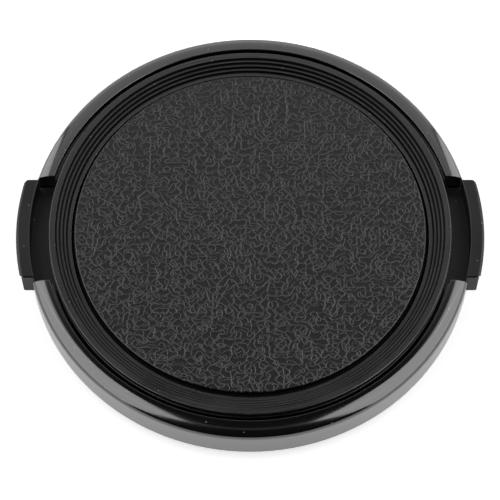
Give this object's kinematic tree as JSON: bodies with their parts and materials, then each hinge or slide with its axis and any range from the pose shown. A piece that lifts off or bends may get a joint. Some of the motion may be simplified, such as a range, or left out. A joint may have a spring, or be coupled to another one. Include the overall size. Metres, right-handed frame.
{
  "type": "lens cap",
  "caption": "Round side-pinch lens cap with a stepped face ring, a wrinkled inlay and sprung thread latches.",
  "frame": {"origin": "centre of the back edge of the collar, on the surface that the cap lies on", "axes": "+Z along the cap's axis out of its front, +X through the right latch, +Y towards the back of the picture"},
  "size_m": [0.0634, 0.0604, 0.0087],
  "materials": {
    "shell_plastic": "satin black moulding",
    "face_plastic": "satin black moulding",
    "wrinkle_plastic": "moulded wrinkle texture, black",
    "spring_steel": "drawn spring wire"
  },
  "bodies": {
    "shell": {"rim_body": "shell_plastic", "face_plate": "face_plastic", "front_inlay": "wrinkle_plastic", "spring_left_front": "spring_steel", "spring_left_rear": "spring_steel", "spring_right_front": "spring_steel", "spring_right_rear": "spring_steel"},
    "left_latch": {"latch_left": "shell_plastic"},
    "right_latch": {"latch_right": "shell_plastic"}
  },
  "joints": [
    {"name": "left_press", "type": "slide", "parent": "shell", "child": "left_latch", "axis": [1, 0, 0], "range_m": [0, 0.0022], "stiffness_N_per_m": 600, "springref_m": -0.003, "deforming": ["spring_left_front", "spring_left_rear"]},
    {"name": "right_press", "type": "slide", "parent": "shell", "child": "right_latch", "axis": [-1, 0, 0], "range_m": [0, 0.0022], "stiffness_N_per_m": 600, "springref_m": -0.003, "deforming": ["spring_right_front", "spring_right_rear"]}
  ]
}
